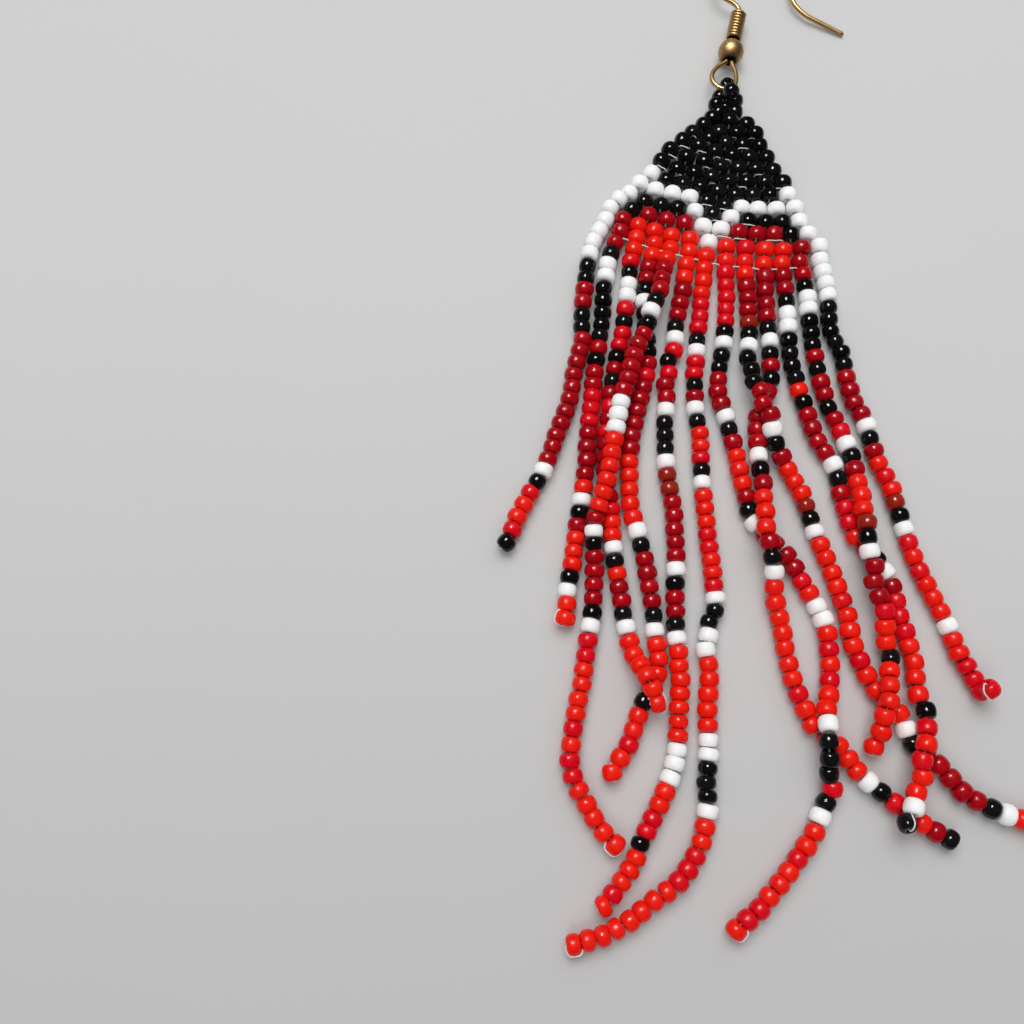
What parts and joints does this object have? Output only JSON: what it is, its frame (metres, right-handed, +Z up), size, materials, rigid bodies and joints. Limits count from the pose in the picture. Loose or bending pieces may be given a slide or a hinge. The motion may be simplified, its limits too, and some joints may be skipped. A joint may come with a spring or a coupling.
{
  "type": "seed bead fringe earring",
  "caption": "Dangle earring lying flat: bronze fish-hook ear wire with ball and coil, brick-stitched bead triangle and a long wavy fringe of black, white and red seed beads",
  "frame": {"origin": "centre of the base of the bounding box of the earring as it lies, on the surface", "axes": "+X to the right across the fringe, +Y along the earring towards the hook, +Z up from the surface"},
  "size_m": [0.0612, 0.1332, 0.0045],
  "materials": {
    "bronze": "antique bronze plate, darker in the grooves",
    "bead_black": "opaque black glass, glossy",
    "bead_white": "opaque white glass, glossy",
    "bead_dark_red": "opaque dark red glass, glossy",
    "bead_red": "opaque bright red glass, glossy",
    "thread": "pale nylon beading thread"
  },
  "bodies": {
    "root": {"ear_wire": "bronze", "ball_bead": "bronze", "wire_coil": "bronze", "hanging_loop": "bead_black", "bead_panel": "bead_black", "fringe_01": "bead_red", "fringe_02": "bead_red", "fringe_03": "bead_red", "fringe_04": "bead_red", "fringe_05": "bead_red", "fringe_06": "bead_red", "fringe_07": "bead_red", "fringe_08": "bead_red", "fringe_09": "bead_red", "fringe_10": "bead_red", "fringe_11": "bead_red", "fringe_12": "bead_red", "fringe_13": "bead_red"}
  },
  "joints": []
}
